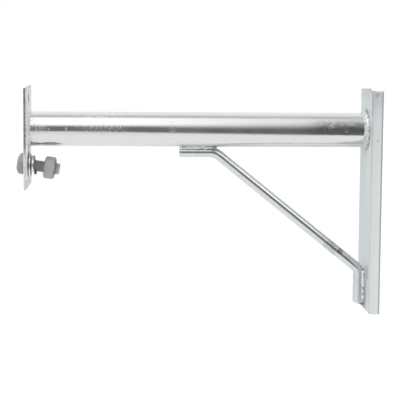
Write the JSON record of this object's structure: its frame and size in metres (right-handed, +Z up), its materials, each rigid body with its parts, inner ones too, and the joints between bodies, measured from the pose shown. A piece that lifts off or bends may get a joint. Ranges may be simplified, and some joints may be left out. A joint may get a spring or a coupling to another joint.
{
  "type": "fibre optic extension arm",
  "caption": "Welded steel arm that holds a fibre cable away from a pole: a round tube between an end plate and a pole channel, braced by a bent bar, with a loose clamp bolt.",
  "frame": {"origin": "on the tube's axis, in the plane of the pole channel's toes", "axes": "+X along the tube towards the pole, +Y across the arm, +Z up, the brace below the tube"},
  "size_m": [0.358, 0.07, 0.2223],
  "materials": {
    "zinc_tube": "bright galvanised",
    "zinc_sheet": "satin galvanised",
    "zinc_bar": "bright galvanised",
    "weld_metal": "rippled weld under zinc",
    "dull_zinc": "dull hot-dip zinc",
    "bright_washer": "bright zinc"
  },
  "bodies": {
    "root": {"tube": "zinc_tube", "end_plate": "zinc_sheet", "pole_channel": "zinc_sheet", "brace_bar": "zinc_bar", "plate_weld_ring": "weld_metal", "channel_weld_ring": "weld_metal", "brace_head_weld_front": "weld_metal", "brace_head_weld_rear": "weld_metal", "brace_foot_weld_front": "weld_metal", "brace_foot_weld_rear": "weld_metal", "hex_bolt": "dull_zinc", "hex_nut": "dull_zinc", "flat_washer": "bright_washer", "spring_washer": "bright_washer"}
  },
  "joints": []
}
